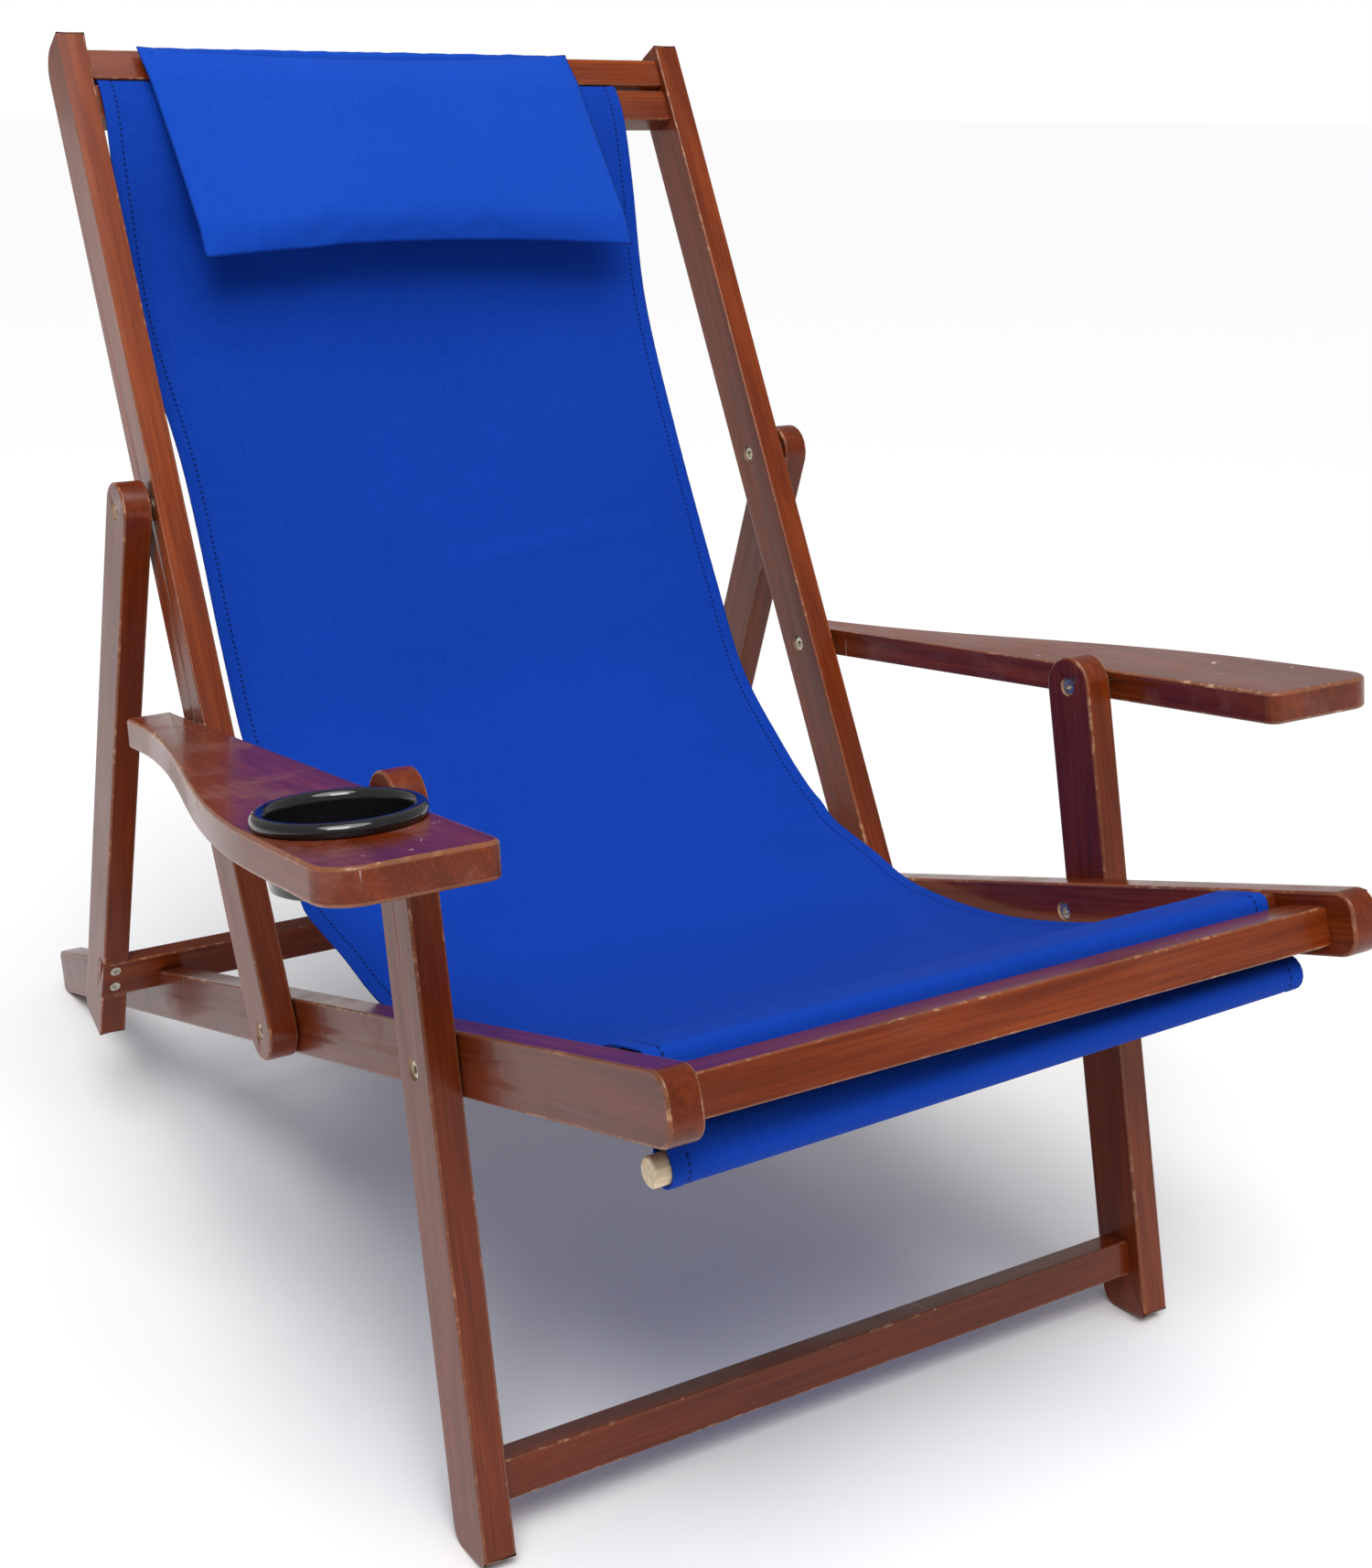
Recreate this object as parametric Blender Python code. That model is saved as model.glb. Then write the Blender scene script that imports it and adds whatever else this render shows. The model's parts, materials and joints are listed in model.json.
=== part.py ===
"""Folding wooden beach chair with a fabric sling, a head pillow and a cup holder.

The chair faces -Y, +Z is up, and left and right are the sitter's (+X is left). It rests on its two
front feet and on the rear ends of its sloping seat rails. Two uprights pivot on the rails and are held by
a prop frame whose bar stands in a notch of the rails. Each armrest is the top link of a four-bar of
rail, upright, armrest and leg, so that laying the back down also folds the legs.

Lengths are in millimetres and angles in degrees until a mesh is made, which is in metres.
"""

import math

import bmesh
import bpy
from mathutils import Vector
from mathutils.geometry import intersect_line_line_2d

METRES = 0.001
GAP = 0.3  # clearance kept between two pieces that touch

# Boards and their layers across the chair, from the middle outwards on each side
BOARD = 22.0
RAIL_X = 240.0
UPRIGHT_X = RAIL_X + BOARD + 1.0
ARM_X = UPRIGHT_X + BOARD + 4.0
RAIL_WIDTH = 42.0
UPRIGHT_WIDTH = 44.0
LEG_WIDTH = 44.0
PROP_WIDTH = 45.0

# The side view: rail slope, back lean and the four-bar's links
SEAT_SLOPE = 17.4
BACK_LEAN = 28.93
PROP_LEAN = -18.3
RAIL_LINK = 286.0
UPRIGHT_LINK = 227.0
LEG_LINK = 164.0
ARM_LINK = 349.0
PROP_PIVOT = 405.0

# Board ends, measured along each board from its own pivot
RAIL_FRONT, RAIL_REAR = 560.0, -674.0
UPRIGHT_TOP = 796.0
PROP_BOTTOM = -509.0
FOOT_RADIUS = 13.0

# Cross rails: (start, end, bottom, top) in the frame of the boards that they join
FRONT_RAIL = (507.0, 539.0, -13.5, 12.0)
SLING_RAIL = (465.0, 497.0, -6.0, 19.0)
STRETCHER = (-279.5, -253.5, -11.0, 11.0)
LOWER_HEAD_RAIL = (723.5, 752.5, -5.5, 16.5)
UPPER_HEAD_RAIL = (757.5, 783.0, -5.5, 16.5)
TENON_DEPTH = 12.0
TENON_SHOULDER = 6.0

# Prop bar, let into the front edges of the prop legs
BAR_BOTTOM, BAR_TOP = -464.0, -429.0
BAR_THICKNESS = 12.5
NOTCH_SPACING = 80.0
NOTCH_RAMP = 118.0

# Armrest plan, along the board from the front pivot, which is ARM_LINK ahead of the rear one
ARM_REAR, ARM_FRONT = -395.5, 176.0
ARM_NARROW, ARM_WIDE = 325.0, 392.6
ARM_CURVE = (-380.0, 60.0)

# Cup holder, in the right armrest
CUP_CENTRE = (-337.8, 64.0)
CUP_RIM_RADIUS = 51.5
CUP_BODY_RADIUS = 43.5
CUP_WALL = 1.8
CUP_RIM_HEIGHT = 8.5
CUP_DEPTH = 38.0

# Sling, dowels and pillow
CLOTH = 2.0
DOWEL_RADIUS = 9.0
POCKET_RADIUS = DOWEL_RADIUS + 0.6 + CLOTH / 2
SLING_TOP_X = (-260.0, 211.0)
SLING_WAIST_X = (-247.0, 224.0)
SLING_SEAT_X = (-239.0, 227.0)
BACK_RIGHT_EDGE = ((84.0, -247.0), (97.0, -239.0), (445.0, -239.0), (600.0, -258.0), (755.0, -260.0))
POCKET_END = (505.2, -15.5)
HEAD_DOWEL = (744.4, -19.5)
FRONT_DOWEL_RIGHT = (503.0, -42.0)
FRONT_DOWEL_LEFT = (513.0, -29.0)
PILLOW_HALF_WIDTH = 195.0
PILLOW_BOTTOM, PILLOW_TOP = 598.0, 782.0
PILLOW_HINGE = (784.0, 22.0)

# Hardware
SHANK_RADIUS = 4.0
SLEEVE_RADIUS = 5.0
HEAD_RADIUS = 6.3
HEAD_HEIGHT = 2.5
HEAD_RECESS = 1.5
SOCKET_APOTHEM = 2.5
COUNTERBORE_RADIUS = 7.0
COUNTERBORE_DEPTH = HEAD_RECESS + HEAD_HEIGHT + GAP
WASHER_RADIUS = 10.0
INSERT_LENGTH = 26.0
SCREW_HEAD_RADIUS = 4.5
SCREW_SHANK_RADIUS = 2.0
SCREW_LENGTH = 28.0
ROUND_STEPS = 18
SIDES = (("right", -1), ("left", 1))


class SideFrame:
    """A frame in the chair's side view: s runs along a board and n out of its front or top edge."""

    def __init__(self, origin, along, out):
        self.origin, self.along, self.out = Vector(origin), Vector(along), Vector(out)

    def at(self, s, n=0.0):
        return self.origin + s * self.along + n * self.out

    def local(self, point):
        offset = point - self.origin
        return Vector((offset.dot(self.along), offset.dot(self.out)))

    def point(self, x, s, n):
        y, z = self.at(s, n)
        return Vector((x, y, z))


def sloping(origin, slope):
    """The frame of a board that runs forwards and rises by the slope."""
    angle = math.radians(slope)
    return SideFrame(origin, (-math.cos(angle), math.sin(angle)), (math.sin(angle), math.cos(angle)))


def leaning(origin, lean):
    """The frame of a board that stands up and leans back by the lean, with n towards the front."""
    angle = math.radians(lean)
    return SideFrame(origin, (math.sin(angle), math.cos(angle)), (-math.cos(angle), math.sin(angle)))


def rounded(corners, chord=4.2):
    """The outline through corners (s, n, radius), each radius drawn as an arc of equal chords."""
    points = []
    for index, (s, n, radius) in enumerate(corners):
        corner = Vector((s, n))
        if not radius:
            points.append(corner)
            continue
        back = (Vector(corners[index - 1][:2]) - corner).normalized()
        ahead = (Vector(corners[(index + 1) % len(corners)][:2]) - corner).normalized()
        half = back.angle(ahead) / 2
        centre = corner + (back + ahead).normalized() * radius / math.sin(half)
        start = corner + back * radius / math.tan(half) - centre
        end = corner + ahead * radius / math.tan(half) - centre
        first = math.atan2(start.y, start.x)
        turn = (math.atan2(end.y, end.x) - first + math.pi) % math.tau - math.pi
        steps = max(2, round(abs(turn) * radius / chord))
        for step in range(steps + 1):
            angle = first + turn * step / steps
            points.append(centre + radius * Vector((math.cos(angle), math.sin(angle))))
    return [p for i, p in enumerate(points) if (p - points[i - 1]).length > 0.01]


def smooth(points, spacing=14.0):
    """Points along a Catmull-Rom curve through the given ones."""
    ends = [2 * points[0] - points[1], *points, 2 * points[-1] - points[-2]]
    curve = []
    for a, b, c, d in zip(ends, ends[1:], ends[2:], ends[3:]):
        steps = max(1, round((c - b).length / spacing))
        for step in range(steps):
            t = step / steps
            bend = (2 * a - 5 * b + 4 * c - d) * t * t + (3 * b - a - 3 * c + d) * t**3
            curve.append(b + ((c - a) * t + bend) / 2)
    return [*curve, points[-1]]


def material(name, colour, roughness, metallic=0.0):
    made = bpy.data.materials.new(name)
    made.use_nodes = True
    made.diffuse_color = (*colour, 1.0)
    shader = made.node_tree.nodes["Principled BSDF"]
    shader.inputs["Base Color"].default_value = (*colour, 1.0)
    shader.inputs["Roughness"].default_value = roughness
    shader.inputs["Metallic"].default_value = metallic
    return made


def loft(name, rings, finish, body, smooth_shaded=False):
    """A closed solid through rings of as many points each, capped at both ends, parented to its body."""
    pivot = body.location
    work = bmesh.new()
    loops = [[work.verts.new(point * METRES - pivot) for point in ring] for ring in rings]
    for one, other in zip(loops, loops[1:]):
        for i in range(len(one)):
            work.faces.new((one[i - 1], one[i], other[i], other[i - 1]))
    work.faces.new(loops[0])
    work.faces.new(loops[-1])
    bmesh.ops.recalc_face_normals(work, faces=work.faces)
    mesh = bpy.data.meshes.new(name)
    work.to_mesh(mesh)
    work.free()
    if smooth_shaded:
        mesh.shade_smooth()
        mesh.set_sharp_from_angle(angle=math.radians(35))
    made = bpy.data.objects.new(name, mesh)
    made.parent = body
    bpy.context.scene.collection.objects.link(made)
    if finish:
        mesh.materials.append(finish)
    return made


def cut(board, name, rings):
    """Takes the solid through the rings away from the board."""
    cutter = loft(name, rings, None, board.parent)
    cutter.hide_render = True
    cutter.display_type = "WIRE"
    boolean = board.modifiers.new(name, "BOOLEAN")
    boolean.solver = "EXACT"
    boolean.object = cutter


def side_board(name, frame, outline, inner_x, side, finish, body):
    """A board of the chair's side, its outline in its side frame."""
    rings = [[frame.point(side * x, *p) for p in outline] for x in (inner_x, inner_x + BOARD)]
    return loft(name, rings, finish, body)


def circle_ring(centre, axis, across, radius):
    """A ring of points round an axis. A negative radius is the apothem of a hexagon."""
    other = axis.cross(across)
    ring = []
    for step in range(ROUND_STEPS):
        angle = math.tau * step / ROUND_STEPS
        size = radius
        if radius < 0:
            size = -radius / math.cos((angle + math.pi / 6) % (math.pi / 3) - math.pi / 6)
        ring.append(centre + size * (math.cos(angle) * across + math.sin(angle) * other))
    return ring


def turned_rings(base, axis, profile):
    """Rings of a turned shape. The profile is (distance along the axis, radius) from cap to cap."""
    across = Vector((0, 0, 1)) if abs(axis.x) > 0.5 else Vector((1, 0, 0))
    return [circle_ring(base + distance * axis, axis, across, radius) for distance, radius in profile]


def box_rings(frame, x_low, x_high, bounds, grow=0.0):
    s0, s1, n0, n1 = bounds
    corners = [(s0 - grow, n0 - grow), (s1 + grow, n0 - grow), (s1 + grow, n1 + grow), (s0 - grow, n1 + grow)]
    return [[frame.point(x, s, n) for s, n in corners] for x in (x_low, x_high)]


def cross_rail(name, frame, bounds, inner_x, boards, finish, body):
    """A rail between two side boards, with a tenon at each end and the mortise cut for it."""
    s0, s1, n0, n1 = bounds
    tenon = (s0 + TENON_SHOULDER, s1 - TENON_SHOULDER, n0 + TENON_SHOULDER, n1 - TENON_SHOULDER)
    shoulder, end = inner_x - GAP, inner_x + TENON_DEPTH
    rings = [
        *box_rings(frame, -end, -shoulder, tenon),
        *box_rings(frame, -shoulder, shoulder, bounds),
        *box_rings(frame, shoulder, end, tenon),
    ]
    for side, board in zip((-1, 1), boards):
        ends = (side * (inner_x - 2.0), side * (end + GAP))
        cut(board, f"{name}_mortise_{side}", box_rings(frame, *ends, tenon, GAP))
    return loft(name, rings, finish, body)


def bore(board, name, frame, s, side, face_x, far_x, radius, counterbore=True):
    """A hole through a board, counterbored where the bolt's head sits, from the face at face_x."""
    centre = frame.point(side * face_x, s, 0)
    inward = 1 if far_x > face_x else -1
    axis = Vector((side * inward, 0, 0))
    depth = abs(far_x - face_x) + 1
    profile = [(-1, radius), (depth, radius)]
    if counterbore:
        wide = COUNTERBORE_RADIUS
        profile = [(-1, wide), (COUNTERBORE_DEPTH, wide), (COUNTERBORE_DEPTH, radius), (depth, radius)]
    cut(board, name, turned_rings(centre, axis, profile))


def bolt(name, frame, s, side, face_x, inward, length, finish, body):
    """A socket bolt whose head is sunk below the face at face_x."""
    axis = Vector((side * inward, 0, 0))
    face = frame.point(side * face_x, s, 0) + HEAD_RECESS * axis
    profile = [
        (2.0, -SOCKET_APOTHEM),
        (0.0, -SOCKET_APOTHEM),
        (0.0, HEAD_RADIUS - 0.7),
        (0.7, HEAD_RADIUS),
        (HEAD_HEIGHT, HEAD_RADIUS),
        (HEAD_HEIGHT, SHANK_RADIUS),
        (length, SHANK_RADIUS),
    ]
    return loft(name, turned_rings(face, axis, profile), finish, body, smooth_shaded=True)


def sleeve_nut(name, frame, s, side, face_x, length, finish, body):
    """The bolt's other half: a head sunk in the inner face and a sleeve, bored for the bolt's shank."""
    axis = Vector((side, 0, 0))
    face = frame.point(side * face_x, s, 0) + HEAD_RECESS * axis
    bored = SHANK_RADIUS + GAP
    profile = [
        (2.0, -SOCKET_APOTHEM),
        (0.0, -SOCKET_APOTHEM),
        (0.0, HEAD_RADIUS - 0.7),
        (0.7, HEAD_RADIUS),
        (HEAD_HEIGHT, HEAD_RADIUS),
        (HEAD_HEIGHT, SLEEVE_RADIUS),
        (length, SLEEVE_RADIUS),
        (length, bored),
        (HEAD_HEIGHT + 3, bored),
    ]
    return loft(name, turned_rings(face, axis, profile), finish, body, smooth_shaded=True)


def tube_rings(centre, axis, start, end, inner, outer):
    """Rings that run out along a tube and back inside it; closed_tube joins the last to the first."""
    return turned_rings(centre, axis, [(start, inner), (start, outer), (end, outer), (end, inner)])


def closed_tube(name, rings, finish, body):
    """A ring-shaped solid, such as a washer, through rings that close on themselves."""
    pivot = body.location
    work = bmesh.new()
    loops = [[work.verts.new(point * METRES - pivot) for point in ring] for ring in rings]
    for one, other in zip(loops, [*loops[1:], loops[0]]):
        for i in range(len(one)):
            work.faces.new((one[i - 1], one[i], other[i], other[i - 1]))
    bmesh.ops.recalc_face_normals(work, faces=work.faces)
    mesh = bpy.data.meshes.new(name)
    work.to_mesh(mesh)
    work.free()
    mesh.shade_smooth()
    mesh.set_sharp_from_angle(angle=math.radians(35))
    mesh.materials.append(finish)
    made = bpy.data.objects.new(name, mesh)
    made.parent = body
    bpy.context.scene.collection.objects.link(made)


def washer(name, frame, s, side, low_x, high_x, hole, finish, body):
    """A flat washer in the gap between two boards."""
    axis = Vector((side, 0, 0))
    centre = frame.point(side * low_x, s, 0)
    rings = tube_rings(centre, axis, GAP, high_x - low_x - GAP, hole + GAP, WASHER_RADIUS)
    closed_tube(name, rings, finish, body)


def sling_ribbon(name, stations, finish, body):
    """A cloth strip: each station has its (x, s, n) on the right edge and on the left, in one frame."""
    rings = []
    for index, (frame, right, left) in enumerate(stations):
        before, after = stations[max(index - 1, 0)], stations[min(index + 1, len(stations) - 1)]
        ring = []
        for edge, offset in ((1, 1), (2, 1), (2, -1), (1, -1)):
            ends = [Vector(station[0].at(*station[edge][1:])) for station in (before, after)]
            run = (ends[1] - ends[0]).normalized()
            x, s, n = (right, left)[edge - 1]
            centre = frame.at(s, n) + offset * CLOTH / 2 * Vector((-run.y, run.x))
            ring.append(Vector((x, *centre)))
        rings.append(ring)
    return loft(name, rings, finish, body)


def pocket(centre, first, last, steps):
    """Points round a dowel, between two angles from the s axis towards the n axis."""
    angles = [math.radians(first + (last - first) * step / steps) for step in range(steps + 1)]
    return [Vector(centre) + POCKET_RADIUS * Vector((math.cos(a), math.sin(a))) for a in angles]


def share(low, high, part):
    """The value a part of the way from low to high, held within them."""
    return low + (high - low) * min(max(part, 0.0), 1.0)


def along(table, place):
    """The value at a place between the rows (place, value) of a table."""
    for (low, first), (high, last) in zip(table, table[1:]):
        if place <= high:
            return share(first, last, (place - low) / (high - low))
    return table[-1][1]


def rail_corners(top_edge=()):
    """The seat rail's outline, with any corners of its top edge given from the front to the rear."""
    half = RAIL_WIDTH / 2
    return [
        (RAIL_REAR, half, 7),
        (RAIL_REAR, -half, 7),
        (RAIL_FRONT, -half, 15),
        (RAIL_FRONT, half, 13),
        *[(*point, 0) for point in top_edge],
    ]


def place_rail():
    """The rail's pivot with the upright, which puts the rail's rear corner on the floor."""
    bare = sloping((0, 0), SEAT_SLOPE)
    points = [bare.at(*p) for p in rounded(rail_corners())]
    depth = [p.x for p in points]
    return Vector((-(min(depth) + max(depth)) / 2, -min(p.y for p in points)))


def meeting_point(one, reach_one, other, reach_other):
    """The upper point at given distances from two others, in the side view."""
    across = other - one
    distance = across.length
    along = (reach_one**2 - reach_other**2 + distance**2) / (2 * distance)
    height = math.sqrt(reach_one**2 - along**2)
    unit = across / distance
    square = Vector((unit.y, -unit.x))
    return max((one + along * unit + side * height * square for side in (-1, 1)), key=lambda p: p.y)


def notched_edge(rail, prop):
    """The rail's top edge from the front to the rear: a notch for the prop bar and two more behind it.

    A relief ramp rises from the first notch, so that the bar can leave it while the back goes down.
    """
    half = RAIL_WIDTH / 2
    bottom = rail.local(prop.at(BAR_BOTTOM, PROP_WIDTH / 2)) + Vector((GAP, -GAP))
    up = (rail.local(prop.at(BAR_TOP, 0)) - rail.local(prop.at(BAR_BOTTOM, 0))).normalized()
    back = Vector((-up.y, up.x))
    ramp_end = Vector((bottom.x - NOTCH_RAMP, half))
    ramp, flat = (bottom, ramp_end), (ramp_end, ramp_end - Vector((400, 0)))
    front_flat = (Vector((0, half)), Vector((-400, half)))
    edge = [intersect_line_line_2d(bottom, bottom + 60 * up, *front_flat), bottom]
    for step, line in ((1, ramp), (2, flat)):
        low = bottom - Vector((step * NOTCH_SPACING, 0))
        front = intersect_line_line_2d(low, low + 60 * up, *line)
        rear = intersect_line_line_2d(low, low + 60 * back, *line)
        if step == 2:
            edge.append(ramp_end)
        edge += [front, low, rear]
    return edge


def armrest_outline():
    """The armrest from above, as (x, along): narrow behind, swelling outwards to a wide front."""
    start, end = ARM_CURVE
    steps = 14
    swell = []
    for step in range(steps + 1):
        part = step / steps
        outwards = part * part * (3 - 2 * part)
        swell.append((share(ARM_NARROW, ARM_WIDE, outwards), share(start, end, part), 0))
    return rounded(
        [
            (ARM_X, ARM_REAR, 3),
            (ARM_NARROW, ARM_REAR, 8),
            *swell,
            (ARM_WIDE, ARM_FRONT, 25),
            (ARM_X, ARM_FRONT, 9),
        ]
    )


def empty(name, frame_point):
    made = bpy.data.objects.new(name, None)
    made.location = Vector((0, *frame_point)) * METRES
    bpy.context.scene.collection.objects.link(made)
    return made


def layout():
    """The side frames of the boards, and an empty on each joint's axis for the bodies."""
    rail = sloping(place_rail(), SEAT_SLOPE)
    upright = leaning(rail.origin, BACK_LEAN)
    leg_pivot = rail.at(RAIL_LINK)
    rear_arm_pivot = upright.at(UPRIGHT_LINK)
    front_arm_pivot = meeting_point(leg_pivot, LEG_LINK, rear_arm_pivot, ARM_LINK)
    leg_run = front_arm_pivot - leg_pivot
    arm_run = front_arm_pivot - rear_arm_pivot
    frames = {
        "rail": rail,
        "upright": upright,
        "leg": leaning(leg_pivot, math.degrees(math.atan2(leg_run.x, leg_run.y))),
        "prop": leaning(upright.at(PROP_PIVOT), PROP_LEAN),
        "arm": sloping(front_arm_pivot, math.degrees(math.atan2(arm_run.y, -arm_run.x))),
    }
    bodies = {
        "seat": empty("seat_frame", rail.origin),
        "back": empty("back_frame", rail.origin),
        "leg": empty("leg_frame", leg_pivot),
        "prop": empty("prop_frame", frames["prop"].origin),
        "arm_right": empty("armrest_right_body", rear_arm_pivot),
        "arm_left": empty("armrest_left_body", rear_arm_pivot),
        "pillow": empty("pillow_body", upright.at(*PILLOW_HINGE)),
    }
    return frames, bodies


def make_seat_rails(frames, bodies, wood):
    rail, leg_hole = frames["rail"], RAIL_LINK
    outline = rounded(rail_corners(notched_edge(rail, frames["prop"])))
    boards = []
    for name, side in SIDES:
        board = side_board(f"seat_rail_{name}", rail, outline, RAIL_X, side, wood, bodies["seat"])
        for label, s in (("upright", 0.0), ("leg", leg_hole)):
            bored = SLEEVE_RADIUS + GAP
            bore(board, f"rail_{label}_bore_{name}", rail, s, side, RAIL_X, RAIL_X + BOARD, bored)
        boards.append(board)
    cross_rail("front_rail", rail, FRONT_RAIL, RAIL_X, boards, wood, bodies["seat"])
    cross_rail("sling_rail", rail, SLING_RAIL, RAIL_X, boards, wood, bodies["seat"])


def make_uprights(frames, bodies, wood):
    upright, half = frames["upright"], UPRIGHT_WIDTH / 2
    outline = rounded(
        [
            (-half, half, half),
            (UPRIGHT_TOP, half, 3),
            (UPRIGHT_TOP, -half, 21),
            (-half, -half, half),
        ]
    )
    boards = []
    outer = UPRIGHT_X + BOARD
    for name, side in SIDES:
        board = side_board(f"upright_{name}", upright, outline, UPRIGHT_X, side, wood, bodies["back"])
        sleeve, shank = SLEEVE_RADIUS + GAP, SHANK_RADIUS + GAP
        bore(board, f"upright_rail_bore_{name}", upright, 0, side, outer, UPRIGHT_X, sleeve)
        bore(board, f"upright_arm_bore_{name}", upright, UPRIGHT_LINK, side, UPRIGHT_X, outer, shank)
        bore(board, f"upright_prop_bore_{name}", upright, PROP_PIVOT, side, UPRIGHT_X, outer, sleeve)
        boards.append(board)
    for label, bounds in (("lower", LOWER_HEAD_RAIL), ("upper", UPPER_HEAD_RAIL)):
        cross_rail(f"{label}_head_rail", upright, bounds, UPRIGHT_X, boards, wood, bodies["back"])


def make_legs(frames, bodies, wood):
    leg, half = frames["leg"], LEG_WIDTH / 2
    rise, lean = leg.origin.y, leg.out.y
    foot = FOOT_RADIUS + (rise - (half - FOOT_RADIUS) * lean - FOOT_RADIUS) / leg.along.y
    outline = rounded(
        [
            (LEG_LINK + half, half, half),
            (LEG_LINK + half, -half, half),
            (-foot, -half, FOOT_RADIUS),
            (-foot, half, 3),
        ]
    )
    boards = []
    outer = UPRIGHT_X + BOARD
    for name, side in SIDES:
        board = side_board(f"leg_{name}", leg, outline, UPRIGHT_X, side, wood, bodies["leg"])
        bore(board, f"leg_rail_bore_{name}", leg, 0, side, outer, UPRIGHT_X, SLEEVE_RADIUS + GAP)
        bore(board, f"leg_arm_bore_{name}", leg, LEG_LINK, side, UPRIGHT_X, outer, SHANK_RADIUS + GAP)
        boards.append(board)
    cross_rail("stretcher", leg, STRETCHER, UPRIGHT_X, boards, wood, bodies["leg"])


def prop_screw_rings(prop, x, s, profile):
    """Rings of a turned shape whose axis enters the prop leg's front edge."""
    axis = -Vector((0, *prop.out))
    return turned_rings(prop.point(x, s, PROP_WIDTH / 2), axis, profile)


def make_prop_frame(frames, bodies, wood, steel):
    prop, half = frames["prop"], PROP_WIDTH / 2
    seat = half - BAR_THICKNESS - GAP
    outline = rounded(
        [
            (half, half, half),
            (half, -half, half),
            (PROP_BOTTOM, -half, 16),
            (PROP_BOTTOM, half, 3),
            (BAR_BOTTOM - GAP, half, 0),
            (BAR_BOTTOM - GAP, seat, 0),
            (BAR_TOP + GAP, seat, 0),
            (BAR_TOP + GAP, half, 0),
        ]
    )
    outer = ARM_X + BOARD
    bounds = (BAR_BOTTOM, BAR_TOP, half - BAR_THICKNESS, half)
    bar = loft("prop_bar", box_rings(prop, -outer, outer, bounds), wood, bodies["prop"])
    middle = (BAR_BOTTOM + BAR_TOP) / 2
    for name, side in SIDES:
        leg = side_board(f"prop_leg_{name}", prop, outline, ARM_X, side, wood, bodies["prop"])
        bore(leg, f"prop_bore_{name}", prop, 0, side, outer, ARM_X, SLEEVE_RADIUS + GAP)
        for label, offset in (("upper", 8.5), ("lower", -8.5)):
            x, s = side * (ARM_X + BOARD / 2), middle + offset
            thin, wide = SCREW_SHANK_RADIUS + GAP, SCREW_HEAD_RADIUS + GAP
            hole = [(-1, wide + 1), (wide - thin, thin), (SCREW_LENGTH + 1, thin)]
            for board in (bar, leg):
                rings = prop_screw_rings(prop, x, s, hole)
                cut(board, f"{board.name}_{label}_screw_hole_{name}", rings)
            make_screw(f"bar_screw_{label}_{name}", prop, x, s, steel, bodies["prop"])


def make_screw(name, prop, x, s, steel, body):
    """A countersunk screw with a cross recess."""
    cone = SCREW_HEAD_RADIUS - SCREW_SHANK_RADIUS
    profile = [
        (0.3, SCREW_HEAD_RADIUS),
        (0.3 + cone, SCREW_SHANK_RADIUS),
        (SCREW_LENGTH - 4, SCREW_SHANK_RADIUS),
        (SCREW_LENGTH, 0.4),
    ]
    made = loft(name, prop_screw_rings(prop, x, s, profile), steel, body, smooth_shaded=True)
    for label, across, along in (("bar", 2.6, 0.5), ("stem", 0.5, 2.6)):
        bounds = (s - along, s + along, PROP_WIDTH / 2 - 1.8, PROP_WIDTH / 2 + 1)
        cut(made, f"{name}_recess_{label}", box_rings(prop, x - across, x + across, bounds))


def make_armrests(frames, bodies, wood):
    arm, outline = frames["arm"], armrest_outline()
    for name, side in SIDES:
        body = bodies[f"arm_{name}"]
        rings = [[arm.point(side * x, s, n) for x, s in outline] for n in (-BOARD / 2, BOARD / 2)]
        board = loft(f"armrest_{name}", rings, wood, body)
        for label, s in (("front", 0.0), ("rear", -ARM_LINK)):
            axis, centre = Vector((side, 0, 0)), arm.point(side * ARM_X, s, 0)
            depth, outer = INSERT_LENGTH + 2, SLEEVE_RADIUS + GAP
            rings = turned_rings(centre, axis, [(-1, outer), (depth, outer)])
            cut(board, f"armrest_{label}_insert_bore_{name}", rings)
        if name == "right":
            hole = CUP_BODY_RADIUS + 0.6
            cut(board, "cup_hole", cup_rings(arm, [(-30, hole), (30, hole)]))


def cup_rings(arm, profile, steps=48):
    """Rings round the cup holder's axis, from a profile of (height above the board's middle, radius)."""
    x, s = CUP_CENTRE
    rings = []
    for height, radius in profile:
        turns = [math.tau * step / steps for step in range(steps)]
        rings.append([arm.point(x + radius * math.cos(a), s + radius * math.sin(a), height) for a in turns])
    return rings


def make_cup_holder(frames, bodies, plastic):
    """A drop-in cup: a rounded rim on the armrest and a shallow well through it."""
    top = BOARD / 2 + GAP
    inner = CUP_BODY_RADIUS - CUP_WALL
    floor = BOARD / 2 - CUP_DEPTH
    profile = [
        (floor, CUP_BODY_RADIUS - 3),
        (floor + 3, CUP_BODY_RADIUS),
        (top, CUP_BODY_RADIUS),
        (top, CUP_RIM_RADIUS),
        (top + CUP_RIM_HEIGHT * 0.6, CUP_RIM_RADIUS),
        (top + CUP_RIM_HEIGHT * 0.9, CUP_RIM_RADIUS - 2),
        (top + CUP_RIM_HEIGHT, CUP_RIM_RADIUS - 5),
        (top + CUP_RIM_HEIGHT * 0.85, inner + 1.2),
        (top + CUP_RIM_HEIGHT * 0.6, inner),
        (floor + CUP_WALL + 2, inner),
        (floor + CUP_WALL, inner - 2),
    ]
    rings = cup_rings(frames["arm"], profile)
    loft("cup_holder", rings, plastic, bodies["arm_right"], smooth_shaded=True)


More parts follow.
